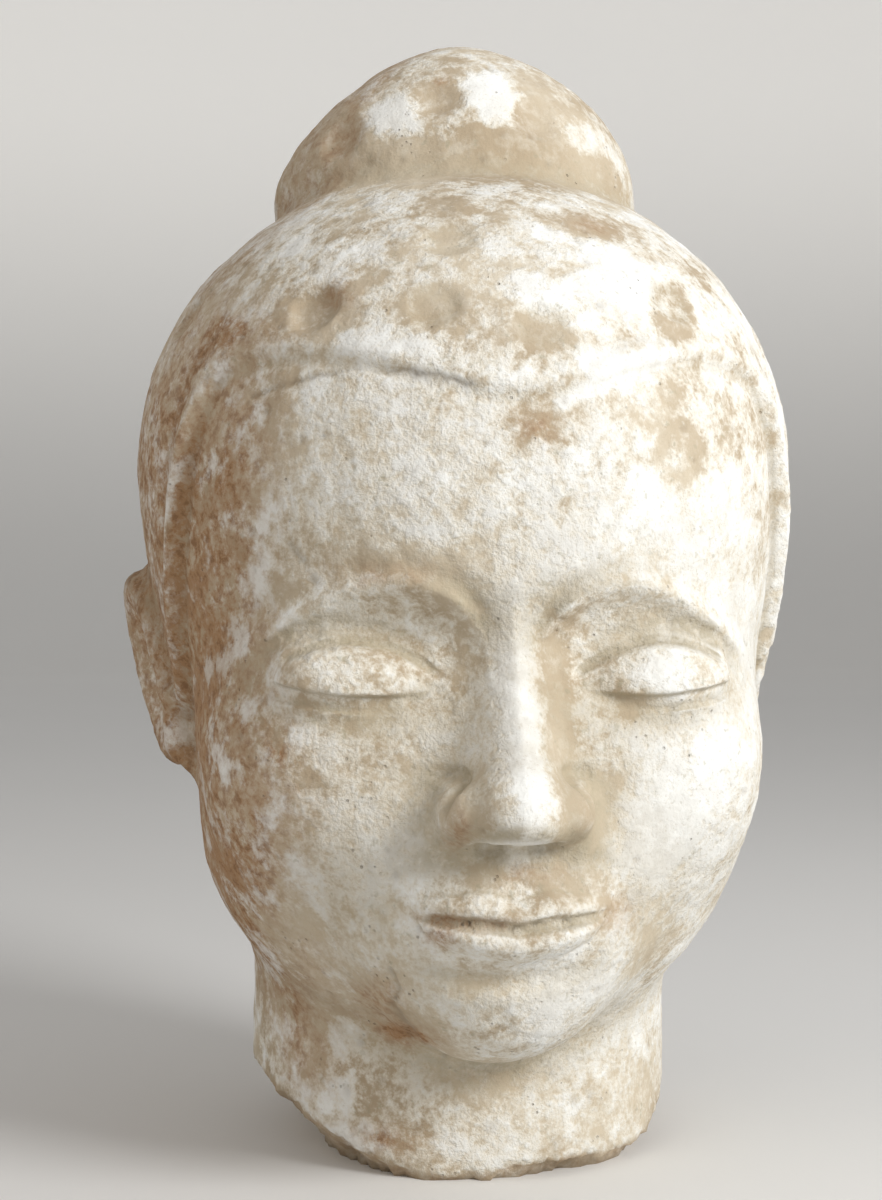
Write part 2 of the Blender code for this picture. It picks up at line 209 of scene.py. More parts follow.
def carveHair(p, d):
    away, theta = fromHairEdge(p)
    proud = fingers("hairStep") * (0.65 + 0.35 * ease(30, 55, theta)) * (1 - 0.4 * ease(84, 120, theta))
    roll = 0.1 * swell(away - 0.2, 0.17) - 0.06 * swell(away - 0.62, 0.2)   # rolled edge of the sideburn
    roll = roll * ease(47, 56, theta) * ease(96, 80, theta)
    return d - proud * ease(-0.2, 0.2, away) - roll + 0.04 * swell(away + 0.12, 0.1) * ease(100, 80, theta)


def dimples(p, marks, centre, radii):
    total = 0.0
    radius = fingers("dimpleRadius")
    depth = fingers("dimpleDepth")
    for azimuth, height, share in marks:
        turn = math.radians(azimuth)
        a = math.atan2(math.sin(turn) * radii[1], math.cos(turn) * radii[0])
        level = math.sqrt(max(1 - ((height - centre[2]) / radii[2]) ** 2, 0))
        out = np.asarray((math.sin(a) * radii[0], math.cos(a) * radii[1])) * level
        spot = (centre[0] + out[0], centre[1] + out[1], height)
        away = np.linalg.norm(p - np.asarray(spot), axis=-1) / radius
        total = total + depth * share * ease(1.08, 0.45, away)
    return total


def topknot(p, side):
    centre = knotCentre()
    radii = knotRadii()
    share = np.abs(p - centre) / radii
    dome = (np.sum(share ** 1.85, axis=-1) ** (1 / 1.85) - 1) * 3.3
    worn = 0.739 * (side[..., 2] - centre[2] - 1.35) - 0.674 * (side[..., 0] + radii[0] * 0.9)
    dome = cut(dome, worn, 0.9)
    return dome + dimples(side, knotCurls, centre, radii)


def ear(p, left):
    x, f, z = p[..., 0], p[..., 1], p[..., 2]
    up = z - 6.7
    across = f + 0.75 + 0.16 * up
    out = x - (5.85 + 0.24 * up - 0.2 * across)
    thick = fingers("earThickness") / 2
    broad = fingers("earWidth") / 2 * (1 + 0.3 * np.clip(up / 2.2, -1, 1))
    ring = np.hypot(across / broad, up * 2 / fingers("earLength"))
    hollow = np.hypot((across - 0.1) / 0.75, (up - 0.1) / 1.35)
    relief = 0.12 * swell(ring - 0.84, 0.2) - 0.38 * ease(1.15, 0.3, hollow)
    plate = cut((ring - 1) * 1.35, out - thick - relief, 0.45)
    drop = np.stack([out + 0.05, across - 0.1, up + 2.6], axis=-1)
    lobe = ellipsoid(drop, (0, 0, 0), (thick + 0.1, 0.72, fingers("lobeLength") / 2))
    lobe = lobe + 0.12 * swell(across - 0.1, 0.2) * ease(-1.9, -2.4, up) * ease(-4.3, -3.8, up)
    whole = melt(plate, lobe, 0.6)
    broken = np.where(left, 4.95 - z - 0.4 * across + 0.12 * np.sin(4 * across), 2.9 - z + 0.3 * across)
    return cut(whole, broken, 0.35)


def breakHeight(side):
    back = side[..., 1] + fingers("neckSetBack")
    a = np.arctan2(side[..., 0], back)
    r = np.hypot(side[..., 0] * 2 / fingers("neckWidth"), back * 2 / fingers("neckDepth"))
    inner = 0.77 + 0.1 * np.cos(a) + 0.09 * np.cos(2 * a) + 0.04 * np.sin(a)
    inner = inner + 0.02 * np.cos(7 * a + 1.0) + 0.025 * np.cos(5 * a + 2.0)
    steep = 3.1 - 0.25 * np.cos(a) - 0.95 * np.cos(2 * a) - 0.4 * np.sin(a) + 0.4 * np.sin(5 * a)
    return -fingers("neckDrop") + steep * fingers("breakHeight") * np.maximum(r - inner, 0)


def neck(side):
    back = side[..., 1] + fingers("neckSetBack")
    tube = np.hypot(side[..., 0] * 2 / fingers("neckWidth"), back * 2 / fingers("neckDepth")) - 1
    return cut(tube * fingers("neckWidth") / 2, side[..., 2] - 6, 0.5)


def carved(side):
    p = side.copy()
    p[..., 0] = np.abs(p[..., 0])
    left = side[..., 0] < 0
    d = headMass(p)
    d = carveBrow(p, d)
    d = carveNose(p, d)
    d = carveEye(p, d)
    d = carveMouth(p, d)
    d = carveHair(p, d)
    d = d + dimples(side, lostCurls, skullCentre(), skullRadii())
    d = melt(d, topknot(p, side), 0.3)
    d = melt(d, ear(p, left), 0.35)
    d = melt(d, neck(side), 0.7)
    return cut(d, breakHeight(side) - side[..., 2], 0.1)


def toCanon(points):
    forward = -points[:, 1] / finger - fingers("neckSetBack")
    height = (points[:, 2] - headValues["neckDrop"]) / finger
    return np.stack([points[:, 0] / finger, forward, height], axis=1)


def slopeOf(p, delta=0.015):
    slope = np.empty_like(p)
    for k in range(3):
        shift = np.zeros(3)
        shift[k] = delta
        slope[:, k] = (carved(p + shift) - carved(p - shift)) / (2 * delta)
    return slope


def readPoints(mesh):
    flat = np.empty(len(mesh.vertices) * 3)
    mesh.vertices.foreach_get("co", flat)
    return flat.reshape(-1, 3)


def writePoints(mesh, points):
    mesh.vertices.foreach_set("co", points.ravel())
    mesh.update()


def carveMesh(obj, rounds, longest, relaxing=True):
    mesh = obj.data
    points = readPoints(mesh)
    pairs = np.empty(len(mesh.edges) * 2, dtype=np.int64)
    mesh.edges.foreach_get("vertices", pairs)
    pairs = pairs.reshape(-1, 2)
    valence = np.maximum(np.bincount(pairs.ravel(), minlength=len(points)), 1)[:, None]
    for turn in range(rounds):
        p = toCanon(points)
        d = carved(p)
        slope = slopeOf(p)
        size = np.sum(slope * slope, axis=1)
        move = -slope * (d / np.maximum(size, 0.25))[:, None] * finger
        length = np.linalg.norm(move, axis=1)
        move *= np.minimum(1, longest / np.maximum(length, 1e-9))[:, None]
        move[:, 1] *= -1
        points = points + move
        if relaxing and turn < rounds - 2:
            around = np.zeros_like(points)
            for k in range(3):
                around[:, k] = np.bincount(pairs[:, 0], points[pairs[:, 1], k], len(points))
                around[:, k] += np.bincount(pairs[:, 1], points[pairs[:, 0], k], len(points))
            relax = around / valence - points
            normal = slope / np.maximum(np.sqrt(size), 1e-6)[:, None]
            normal[:, 1] *= -1
            relax -= normal * np.sum(relax * normal, axis=1)[:, None]
            points = points + relax * 0.4
    writePoints(mesh, points)


def deselectAll():
    if bpy.context.object and bpy.context.object.mode != "OBJECT":
        bpy.ops.object.mode_set(mode="OBJECT")
    bpy.ops.object.select_all(action="DESELECT")


def makeActive(obj):
    deselectAll()
    obj.select_set(True)
    bpy.context.view_layer.objects.active = obj


def remesh(obj, cell):
    makeActive(obj)
    modifier = obj.modifiers.new("even cells", "REMESH")
    modifier.mode = "VOXEL"
    modifier.voxel_size = cell
    bpy.ops.object.modifier_apply(modifier=modifier.name)


# Wear in the surface: the same noise, marks and lines feed the mesh and the colours
wearValues = {
    "unevenness": 0.00028,    # slow waves left by the hand, metres
    "unevenSize": 0.021,
    "grain": 0.00010,
    "grainSize": 0.0042,
    "flakeDepth": 0.00016,
    "flakeSize": 0.0085,
    "breakRoughness": 0.0011,
    "breakSize": 0.006,
    "pits": 260,
    "smallestPit": 0.0004,
    "pitSpread": 0.0011,
    "pitDepth": 0.32,         # share of a pit's own radius
    "chips": 14,
    "smallestChip": 0.0016,
    "chipSpread": 0.0026,
    "chipDepth": 0.14,
    "lineDepth": 0.0007,
    "crackDepth": 0.00035,
    "ridgeHeight": 0.0003,
    "scrapeDepth": 0.0005,
}


def noiseField(points, size, offset, octaves=3, gain=0.5):
    total = np.zeros(len(points))
    amount = 1.0
    scale = 1.0 / size
    for k in range(octaves):
        shift = Vector((offset * 1.7, offset * 0.9 + k * 3.1, -offset * 1.3))
        heights = (noise.noise(Vector(q) * scale + shift) for q in points)
        total += amount * np.fromiter(heights, float, len(points))
        amount *= gain
        scale *= 2.03
    return total


def lineField(p, line, width):
    away = np.full(len(p), 9.0)
    for (ax, az), (bx, bz) in zip(line, line[1:]):
        span = np.array((bx - ax, bz - az))
        t = np.clip(((p[:, 0] - ax) * span[0] + (p[:, 2] - az) * span[1]) / (span @ span), 0, 1)
        away = np.minimum(away, np.hypot(p[:, 0] - ax - t * span[0], p[:, 2] - az - t * span[1]))
    return swell(away, width) * ease(0.5, 1.5, p[:, 1])


def ringField(p, rings):
    total = np.zeros(len(p))
    for x, z, radius, amount in rings:
        total += amount * swell(np.hypot(p[:, 0] - x, p[:, 2] - z) - radius, 0.14)
    return total * ease(0.2, 1.8, p[:, 1])


def spotField(p, spots):
    total = np.zeros(len(p))
    for x, z, rx, rz, amount in spots:
        total += amount * np.exp(-np.square((p[:, 0] - x) / rx) - np.square((p[:, 2] - z) / rz))
    return total * ease(0.2, 1.8, p[:, 1])


# Where the pale slip is thin (positive) or thick (negative): x, z, half widths, amount. The thin entries
# beside the left side of the nose, from the inner eye to the wing, paint its shade as bare ground.
slipAndShadeSpots = (
    (-3.35, 13.45, 0.75, 0.5, 0.5), (-1.15, 13.3, 0.65, 0.55, 1.3), (0.35, 12.85, 0.6, 0.32, 1.2),
    (-4.7, 13.1, 0.9, 1.0, 0.4), (-0.9, 14.5, 0.7, 0.45, 0.7), (-4.1, 11.3, 1.2, 1.0, 0.35),
    (-5.2, 8.0, 0.9, 3.4, 0.4), (-2.2, 8.95, 1.5, 0.26, 0.9), (-1.3, 8.35, 0.55, 0.5, 0.9),
    (-0.75, 7.3, 0.35, 0.8, 0.8), (0.8, 6.0, 0.26, 1.7, 1.5), (1.35, 4.55, 0.5, 0.5, 1.5),
    (1.6, 5.1, 0.35, 0.25, 0.9), (-1.0, 4.6, 0.3, 0.5, 0.8), (-0.3, 3.55, 1.1, 0.2, 0.7),
    (0.9, 3.4, 0.5, 0.25, 0.6), (2.2, 2.75, 0.9, 0.6, 0.7), (3.0, 2.0, 0.7, 0.6, 0.5),
    (-1.7, 0.7, 0.9, 0.5, 0.6), (-0.5, 1.7, 0.7, 0.35, 0.6), (-4.4, 3.6, 0.9, 2.4, 0.3),
    (2.2, 6.4, 0.3, 0.28, 0.9), (1.9, 15.0, 0.7, 0.3, 0.8), (0.4, 15.2, 1.4, 0.25, 0.6),
    (-1.4, 16.6, 1.9, 0.5, 0.9), (2.0, 16.8, 1.2, 0.6, 1.0), (1.3, 17.9, 0.55, 0.55, 1.0),
    (-0.7, 18.1, 0.45, 0.4, 0.7), (-2.5, 17.6, 0.4, 0.6, 0.8), (0.0, 19.2, 1.6, 0.3, 0.8),
    (2.9, 11.9, 0.5, 0.45, 0.7), (3.2, 10.9, 0.4, 0.4, 0.6), (1.9, 11.4, 0.4, 0.3, 0.4),
    (0.4, 11.3, 0.5, 0.3, 0.5), (-1.9, 5.4, 0.7, 0.5, 0.4), (-3.5, 1.8, 0.7, 1.0, 0.6),
    (3.3, 13.6, 0.25, 0.5, 0.7), (4.3, 11.8, 0.5, 1.2, 0.4), (-2.7, 6.2, 1.0, 0.3, 0.5),
    (-1.3, 9.9, 0.5, 0.25, 0.5), (0.05, 5.9, 0.32, 1.8, -1.6), (2.2, 9.8, 1.7, 1.3, -0.6),
    (3.0, 4.3, 1.0, 2.0, -0.8), (2.5, 7.1, 0.8, 0.35, -0.4), (3.4, 6.9, 0.4, 0.3, 0.6),
    (0.7, 1.5, 1.4, 0.9, -0.5), (1.9, 13.8, 0.8, 0.9, -1.1), (0.5, 13.7, 0.5, 0.5, -1.0),
    (-2.3, 12.7, 0.9, 0.3, -1.0), (-2.9, 6.95, 0.8, 0.3, -0.2), (-2.2, 6.8, 0.4, 0.3, 0.6),
    (-1.4, 10.6, 1.5, 1.1, -0.35), (-1.7, 17.7, 0.45, 0.45, -1.6), (0.3, 18.1, 0.6, 0.6, -2.0),
    (0.5, 16.6, 2.6, 0.45, 1.5), (2.4, 17.3, 0.45, 0.4, -1.3), (1.4, 12.3, 0.5, 0.25, -1.2),
    (-2.6, 3.6, 1.1, 1.6, -0.25), (4.4, 12.9, 0.9, 1.2, -0.5), (4.6, 7.0, 0.8, 3.0, -0.4),
    (0.2, -1.9, 0.7, 0.5, -0.6), (1.6, -0.9, 1.0, 0.4, -0.3), (-3.7, 4.6, 1.1, 1.5, 0.35),
    (-3.2, 1.9, 0.8, 1.0, 0.35),
)
# Round scars of lost curls: x, z, radius, amount
scars = (
    (3.1, 13.45, 0.42, 0.9), (3.1, 10.85, 0.42, 0.8), (2.35, 11.0, 0.35, 0.5), (-3.35, 13.3, 0.5, 0.5),
    (3.9, 12.3, 0.4, 0.5),
)
# Brown earth stain, partly painted shade: the warm shade down the left side of the head, the line between the
# lips and the fold beside the left nose wing. Columns: x, z, half widths, amount
soilAndShadeSpots = (
    (-4.85, 13.15, 0.28, 0.22, 1.3), (-4.6, 12.9, 0.9, 0.8, 0.3), (-4.7, 11.0, 0.7, 1.3, 0.5),
    (-5.1, 8.0, 0.8, 2.6, 0.9), (-5.9, 6.2, 0.6, 1.6, 0.6), (-1.6, 0.35, 0.4, 0.28, 1.2),
    (-2.2, 1.1, 0.35, 0.5, 0.6), (-4.8, 3.0, 0.6, 1.9, 1.0), (-4.2, 4.4, 0.8, 2.2, 0.3),
    (-3.4, 1.2, 0.6, 1.0, 0.25), (-1.3, 2.86, 0.35, 0.1, 0.8), (-0.6, 2.8, 0.6, 0.1, 0.6),
    (0.3, 3.65, 0.5, 0.16, 0.4), (-1.3, 2.55, 0.22, 0.2, 0.8), (-2.9, 13.6, 0.28, 0.3, 0.5),
    (1.8, 15.1, 0.5, 0.2, 0.4), (-2.5, 17.4, 0.3, 0.5, 0.5), (-3.5, 16.9, 0.25, 0.5, 0.9),
    (1.9, 2.8, 0.4, 0.3, 0.3), (-2.2, 8.7, 1.0, 0.2, 0.35), (-3.5, -0.3, 0.7, 1.0, 0.45),
    (-1.9, -1.8, 0.6, 0.25, 0.7), (0.35, 11.2, 0.35, 0.25, 0.5), (-1.05, 4.4, 0.2, 0.4, 0.5),
    (-4.0, 5.6, 0.14, 0.2, 0.9), (-0.6, 18.4, 0.12, 0.1, 1.0), (3.3, 16.6, 0.4, 0.6, 0.3),
)
# Incised and cracked lines, the pale ridge and the painted shadow line above it, as points across the front
hairLine = ((-4.4, 11.9), (-3.7, 12.08), (-2.9, 12.25), (-2.1, 12.2), (-1.3, 12.05), (-0.75, 11.9))
paleRidge = ((0.8, 11.62), (1.2, 11.85), (1.6, 12.15), (2.2, 12.42), (2.7, 12.5))
ridgeShade = ((1.3, 12.25), (2.1, 12.72), (3.0, 12.85))
cracks = (
    ((-3.75, 9.25), (-3.6, 9.0), (-3.5, 8.9)), ((-2.05, 1.85), (-1.9, 1.45), (-1.95, 1.2)),
    ((-2.0, 1.1), (-1.8, 0.8), (-1.6, 0.62), (-1.4, 0.3)), ((-1.65, 0.55), (-1.5, 0.2)),
)


def wearHead(obj):
    mesh = obj.data
    points = readPoints(mesh)
    p = toCanon(points)
    slope = slopeOf(p)
    normal = slope / np.maximum(np.linalg.norm(slope, axis=1), 1e-6)[:, None]
    # hollowShadeAndDirt and creaseShadeAndDirt darken hollows and folds: painted shade, with some dirt
    hollowShadeAndDirt = np.clip((0.3 - carved(p + normal * 0.3)) / 0.11 - 0.08, 0, 1)
    creaseShadeAndDirt = np.clip((0.12 - carved(p + normal * 0.12)) / 0.05, 0, 1)
    creaseShadeAndDirt *= 1 - 0.6 * spotField(p, ((0, 2.8, 1.6, 0.4, 1.0),))    # less painted shade and dirt along the mouth
    worldNormal = normal * np.array((1, -1, 1))
    corners = np.empty(len(mesh.loops), dtype=np.int32)
    mesh.loops.foreach_get("vertex_index", corners)
    areas = np.empty(len(mesh.polygons))
    mesh.polygons.foreach_get("area", areas)
    # marks are shared out by area, so they don't crowd where cells are small
    share = np.bincount(corners, np.repeat(areas, 3), len(points))
    rng = np.random.default_rng(headValues["seed"])
    w = wearValues
    slow = noiseField(points, w["unevenSize"], 1.0, 3)
    fine = noiseField(points, w["grainSize"], 7.0, 3, 0.6)
    flake = noiseField(points, w["flakeSize"], 4.0, 4, 0.62)
    faceCalm = 1 - 0.55 * ease(4.2, 5.2, p[:, 1]) * ease(9.2, 8.2, p[:, 2]) * ease(1.2, 2.2, p[:, 2])
    # depth is in metres, inwards positive
    depth = w["unevenness"] * (0.6 + slow * 1.3) * faceCalm
    depth += w["grain"] * (0.5 + fine)
    knotHollow = dimples(p, knotCurls, knotCentre(), knotRadii()) / fingers("dimpleDepth")
    hairHollow = dimples(p, lostCurls, skullCentre(), skullRadii()) / fingers("dimpleDepth")
    bare = spotField(p, slipAndShadeSpots) + ringField(p, scars) + 0.35 * ease(16.2, 17.0, p[:, 2])
    bare = bare + 1.2 * knotHollow + 0.5 * hairHollow
    azimuth = np.degrees(np.arctan2(p[:, 0], p[:, 1] + 0.6))
    ahead = ease(176, 130, np.abs(azimuth))     # fades before the middle of the back
    sideBare = ahead * (0.2 * ease(40, 75, -azimuth) + 0.15 * ease(60, 100, azimuth))
    sideBare = sideBare + 0.25 * ease(-0.3, -1.0, p[:, 2])
    fromEdge, theta = fromHairEdge(np.stack([np.abs(p[:, 0]), p[:, 1], p[:, 2]], axis=1))
    uneven = 0.7 * ease(-0.2, 0.3, fromEdge)
    uneven = uneven + 1.5 * ahead * ease(22, 42, -azimuth) * ease(0.3, -0.2, fromEdge)
    bare = bare + sideBare + uneven * flake
    thin = ease(0.18, -0.12, flake - 0.35 * bare)
    depth += w["flakeDepth"] * thin

    # broken faces: the underside of the neck and the snapped ears
    snapped = ease(-0.3, 0.25, -normal[:, 2] - 0.25) * ease(-0.3, -0.8, p[:, 2])
    earZone = ease(5.5, 5.8, np.abs(p[:, 0])) * ease(1.4, 0.9, np.abs(p[:, 1] + 0.75))
    earBreak = earZone * np.where(p[:, 0] < 0, ease(5.6, 5.1, p[:, 2]), ease(3.5, 3.1, p[:, 2]))
    broken = np.clip(snapped + earBreak, 0, 1)
    coarse = noiseField(points, w["breakSize"], 13.0, 4, 0.62)
    depth += w["breakRoughness"] * broken * (0.45 + coarse)

    # pits, most of them on the front where the slip is thick
    pit = np.zeros(len(points))
    weight = share * (0.3 + 1.5 * ease(0, 3, p[:, 1])) * (0.6 + 0.8 * ease(9, 13, p[:, 2]))
    chosen = rng.choice(len(points), w["pits"], replace=False, p=weight / weight.sum())
    for index, radius in zip(chosen, w["smallestPit"] + w["pitSpread"] * rng.random(w["pits"]) ** 2.2):
        away = np.linalg.norm(points - points[index], axis=1) / radius
        shape = np.clip(1 - away * away, 0, 1)
        pit = np.maximum(pit, shape)
        depth += shape * radius * w["pitDepth"]
    # shallow scoops knocked out of the edges of hair, ears and neck
    edgeWeight = swell(fromEdge, 0.3) * 0.6 + earZone + swell(p[:, 2] + 1.6, 0.5) * 0.5 + 0.01
    onFace = ease(3.0, 4.5, p[:, 1]) * ease(11, 10, p[:, 2])
    edgeWeight = edgeWeight * share * (1 - 0.97 * onFace)
    chosen = rng.choice(len(points), w["chips"], replace=False, p=edgeWeight / edgeWeight.sum())
    chip = np.zeros(len(points))
    for index, radius in zip(chosen, w["smallestChip"] + w["chipSpread"] * rng.random(w["chips"])):
        away = np.linalg.norm(points - points[index], axis=1) / radius
        away = away + 0.25 * fine
        shape = ease(1.0, 0.45, away)
        chip = np.maximum(chip, shape)
        depth += shape * radius * w["chipDepth"]
    wander = np.stack([p[:, 0] + 0.05 * fine, p[:, 1], p[:, 2] + 0.035 * fine], axis=1)
    line = lineField(wander, hairLine, 0.045) * np.clip(0.5 + 0.9 * slow, 0.15, 0.7)
    depth += w["lineDepth"] * line
    ridge = lineField(wander, paleRidge, 0.13)
    depth -= w["ridgeHeight"] * ridge
    # painted shadow line above the pale ridge, laid in with the incised lines
    line = np.maximum(line, 0.22 * lineField(wander, ridgeShade, 0.09))
    for crack in cracks:
        drawn = lineField(wander, crack, 0.045)
        depth += w["crackDepth"] * drawn
        line = np.maximum(line, drawn * 0.5)

    # the abraded patch beside the chin
    rough = spotField(p, ((-1.6, 0.7, 0.9, 0.7, 1.0), (-2.2, 1.5, 0.45, 0.45, 0.6)))
    depth += w["scrapeDepth"] * rough * (0.4 + coarse)

    # the foot stays level
    foot = points[:, 2] < 0.0008
    depth = np.where(foot, 0, depth)
    points = points - worldNormal * depth[:, None]
    points[foot, 2] = 0
    points[:, 2] = np.maximum(points[:, 2], 0)
    writePoints(mesh, points)

    # browner down the left side, away from the key light: earth stain, partly painted warm shade
    sideStainAndShade = ahead * ease(44, 62, -azimuth) * (1 - 0.5 * ease(90, 130, -azimuth))
    stainAndShadeHeight = ease(-0.6, 2, p[:, 2]) * (1 - 0.5 * ease(11.5, 13.5, p[:, 2]))
    soilAndShade = spotField(p, soilAndShadeSpots) + 0.7 * sideStainAndShade * stainAndShadeHeight
    soilAndShade = soilAndShade + 0.25 * broken + 0.12 * ease(95, 140, np.abs(azimuth))
    # the sideburn's rolled edge is painted paler as a highlight, partly rubbed clean; the grooves beside it
    # get painted shade with some dirt
    sideburn = ease(46, 56, np.abs(azimuth)) * ease(84, 72, np.abs(azimuth))
    crestHighlightAndWear = sideburn * swell(fromEdge - 0.2, 0.13) * np.clip(0.5 + 1.3 * slow + 0.5 * fine, 0, 1)
    grooveShadeAndDirt = sideburn * (swell(fromEdge + 0.17, 0.12) + 0.7 * swell(fromEdge - 0.6, 0.14))
    soilAndShade = soilAndShade * (1 - 0.7 * crestHighlightAndWear) + 0.5 * grooveShadeAndDirt * (p[:, 0] < 0)
    # painted shade with some dirt in the grooves beside the sideburn and round the ears
    side = ease(5.0, 5.5, np.abs(p[:, 0])) * ease(2.0, 1.2, p[:, 1])
    rimShadeAndDirt = np.clip(0.4 * grooveShadeAndDirt + 0.5 * side * creaseShadeAndDirt, 0, 1) * np.clip(0.75 + 0.6 * fine, 0, 1)
    # the hollow field is painted shade, with some dirt, in hollows and folds
    fields = {
        "bare": 0.5 + 0.3 * bare - 0.2 * crestHighlightAndWear + 0.25 * broken + 0.3 * chip + 0.2 * rough - 0.35 * ridge,
        # soilAndShade: earth stains, plus painted warm shade down the left side and in the left sideburn
        # grooves
        "soilAndShade": soilAndShade,
        "hollow": 0.85 * hollowShadeAndDirt + 0.4 * creaseShadeAndDirt,
        # markAndShade: pits, incised lines and cracks, plus painted shade in the sideburn grooves, round the
        # ears and above the pale ridge
        "markAndShade": np.maximum(np.maximum(pit * 0.35, line), rimShadeAndDirt),
    }
    for name, values in fields.items():
        layer = mesh.attributes.new(name, "FLOAT", "POINT")
        layer.data.foreach_set("value", np.clip(values, 0, 1).astype(np.float32))


def faceCentres(obj):
    flat = np.empty(len(obj.data.polygons) * 3)
    obj.data.polygons.foreach_get("center", flat)
    return toCanon(flat.reshape(-1, 3))


def refine(obj, chosen):
    makeActive(obj)
    bpy.context.tool_settings.mesh_select_mode = (False, False, True)
    bpy.ops.object.mode_set(mode="EDIT")
    bpy.ops.mesh.select_all(action="DESELECT")
    bpy.ops.object.mode_set(mode="OBJECT")
    obj.data.polygons.foreach_set("select", chosen)
    bpy.ops.object.mode_set(mode="EDIT")
    bpy.ops.mesh.subdivide(number_cuts=1)
    bpy.ops.mesh.select_all(action="SELECT")
    bpy.ops.mesh.quads_convert_to_tris()
    bpy.ops.object.mode_set(mode="OBJECT")


def makeHead():
    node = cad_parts["head"]
    mesh = node.data.copy()
    mesh.name = "stuccoHead"
    mesh.materials.clear()
    obj = bpy.data.objects.new("stuccoHead", mesh)
    bpy.context.scene.collection.objects.link(obj)
    makeActive(obj)
    bpy.ops.object.mode_set(mode="EDIT")
    bpy.ops.mesh.select_all(action="SELECT")
    bpy.ops.mesh.remove_doubles(threshold=0.00001)
    bpy.ops.mesh.normals_make_consistent(inside=False)
    bpy.ops.object.mode_set(mode="OBJECT")
    remesh(obj, headValues["coarseCell"])
    carveMesh(obj, 7, 0.002)
    remesh(obj, headValues["coarseCell"])
    carveMesh(obj, 5, 0.001)
    # twice as fine over the front, and twice again at lids and lips
    p = faceCentres(obj)
    refine(obj, (p[:, 1] > 1.8) & (p[:, 2] > 0.2) & (p[:, 2] < 13.7))
    carveMesh(obj, 2, 0.0008, relaxing=False)
    p = faceCentres(obj)
    lips = (np.abs(p[:, 0]) < 2.2) & (p[:, 2] > 1.6) & (p[:, 2] < 3.5)
    lids = (np.abs(np.abs(p[:, 0]) - 2.6) < 1.7) & (p[:, 2] > 6.0) & (p[:, 2] < 7.7)
    refine(obj, (p[:, 1] > 3.0) & (lips | lids))
    carveMesh(obj, 5, 0.0006)
    wearHead(obj)
    obj.data.polygons.foreach_set("use_smooth", [True] * len(obj.data.polygons))
    print("head carved,", len(obj.data.polygons), "triangles")
    return obj


stuccoHead = makeHead()


# A socket that can be added, multiplied and compared like a number
class Wire:
    def __init__(self, tree, socket):
        self.tree = tree
        self.socket = socket

    def maths(self, operation, *others):
        made = self.tree.nodes.new("ShaderNodeMath")
        made.operation = operation
        for slot, value in zip(made.inputs, (self,) + others):
            if isinstance(value, Wire):
                self.tree.links.new(value.socket, slot)
            else:
                slot.default_value = value
        return Wire(self.tree, made.outputs[0])

    def turned(self, operation, other):
        made = self.tree.nodes.new("ShaderNodeMath")
        made.operation = operation
        made.inputs[0].default_value = other
        self.tree.links.new(self.socket, made.inputs[1])
        return Wire(self.tree, made.outputs[0])

    def __add__(self, other):
        return self.maths("ADD", other)

    __radd__ = __add__

    def __sub__(self, other):
        return self.maths("SUBTRACT", other)

    def __rsub__(self, other):
        return self.turned("SUBTRACT", other)

    def __mul__(self, other):
        return self.maths("MULTIPLY", other)

    __rmul__ = __mul__

    def most(self, other):
        return self.maths("MAXIMUM", other)

    def least(self, other):
        return self.maths("MINIMUM", other)

    def smooth(self, low, high):
        made = self.tree.nodes.new("ShaderNodeMapRange")
        made.interpolation_type = "SMOOTHSTEP"
        made.inputs["From Min"].default_value = low
        made.inputs["From Max"].default_value = high
        self.tree.links.new(self.socket, made.inputs["Value"])
        return Wire(self.tree, made.outputs["Result"])


class Finish:
    def __init__(self, name):
        self.material = bpy.data.materials.new(name)
        self.material.use_nodes = True
        self.tree = self.material.node_tree
        self.tree.nodes.clear()
        self.place = self.node("ShaderNodeTexCoord", out="Object")

    def node(self, kind, settings=None, values=None, out=0):
        made = self.tree.nodes.new(kind)
        for key, value in (settings or {}).items():
            setattr(made, key, value)
        for key, value in (values or {}).items():
            if isinstance(value, Wire):
                self.tree.links.new(value.socket, made.inputs[key])
            else:
                made.inputs[key].default_value = value
        return Wire(self.tree, made.outputs[out])

    def cloud(self, size, detail=4.0, roughness=0.55, twist=0.0, shift=(0, 0, 0), stretch=(1, 1, 1)):
        values = {"Vector": self.place, "Location": shift, "Scale": stretch}
        where = self.node("ShaderNodeMapping", None, values)
        values = {"Vector": where, "Scale": 1 / size, "Detail": detail, "Roughness": roughness}
        values["Distortion"] = twist
        return self.node("ShaderNodeTexNoise", {"noise_dimensions": "3D"}, values)

    def cells(self, size, shift=(0, 0, 0)):
        where = self.node("ShaderNodeMapping", None, {"Vector": self.place, "Location": shift})
        values = {"Vector": where, "Scale": 1 / size}
        return self.node("ShaderNodeTexVoronoi", {"feature": "F1"}, values, "Distance")

    def field(self, name):
        return self.node("ShaderNodeAttribute", {"attribute_name": name}, None, "Fac")

    def mix(self, factor, first, second):
        # sockets 6 and 7 are the two colours, and 2 is the colour that comes out
        return self.node("ShaderNodeMix", {"data_type": "RGBA"}, {0: factor, 6: first, 7: second}, 2)

    def close(self, colour, roughness, bumps, others):
        normal = None
        for height, distance in bumps:
            values = {"Height": height, "Distance": distance, "Strength": 1.0}
            if normal:
                values["Normal"] = normal
            normal = self.node("ShaderNodeBump", None, values)
        values = {"Base Color": colour, "Roughness": roughness, "Normal": normal}
        values.update(others)
        shader = self.node("ShaderNodeBsdfPrincipled", None, values)
        end = self.tree.nodes.new("ShaderNodeOutputMaterial")
        self.tree.links.new(shader.socket, end.inputs["Surface"])
        return self.material


# Colours as a picture editor shows them, turned into linear light
def tone(red, green, blue):
    return tuple(((c + 0.055) / 1.055) ** 2.4 for c in (red, green, blue)) + (1,)


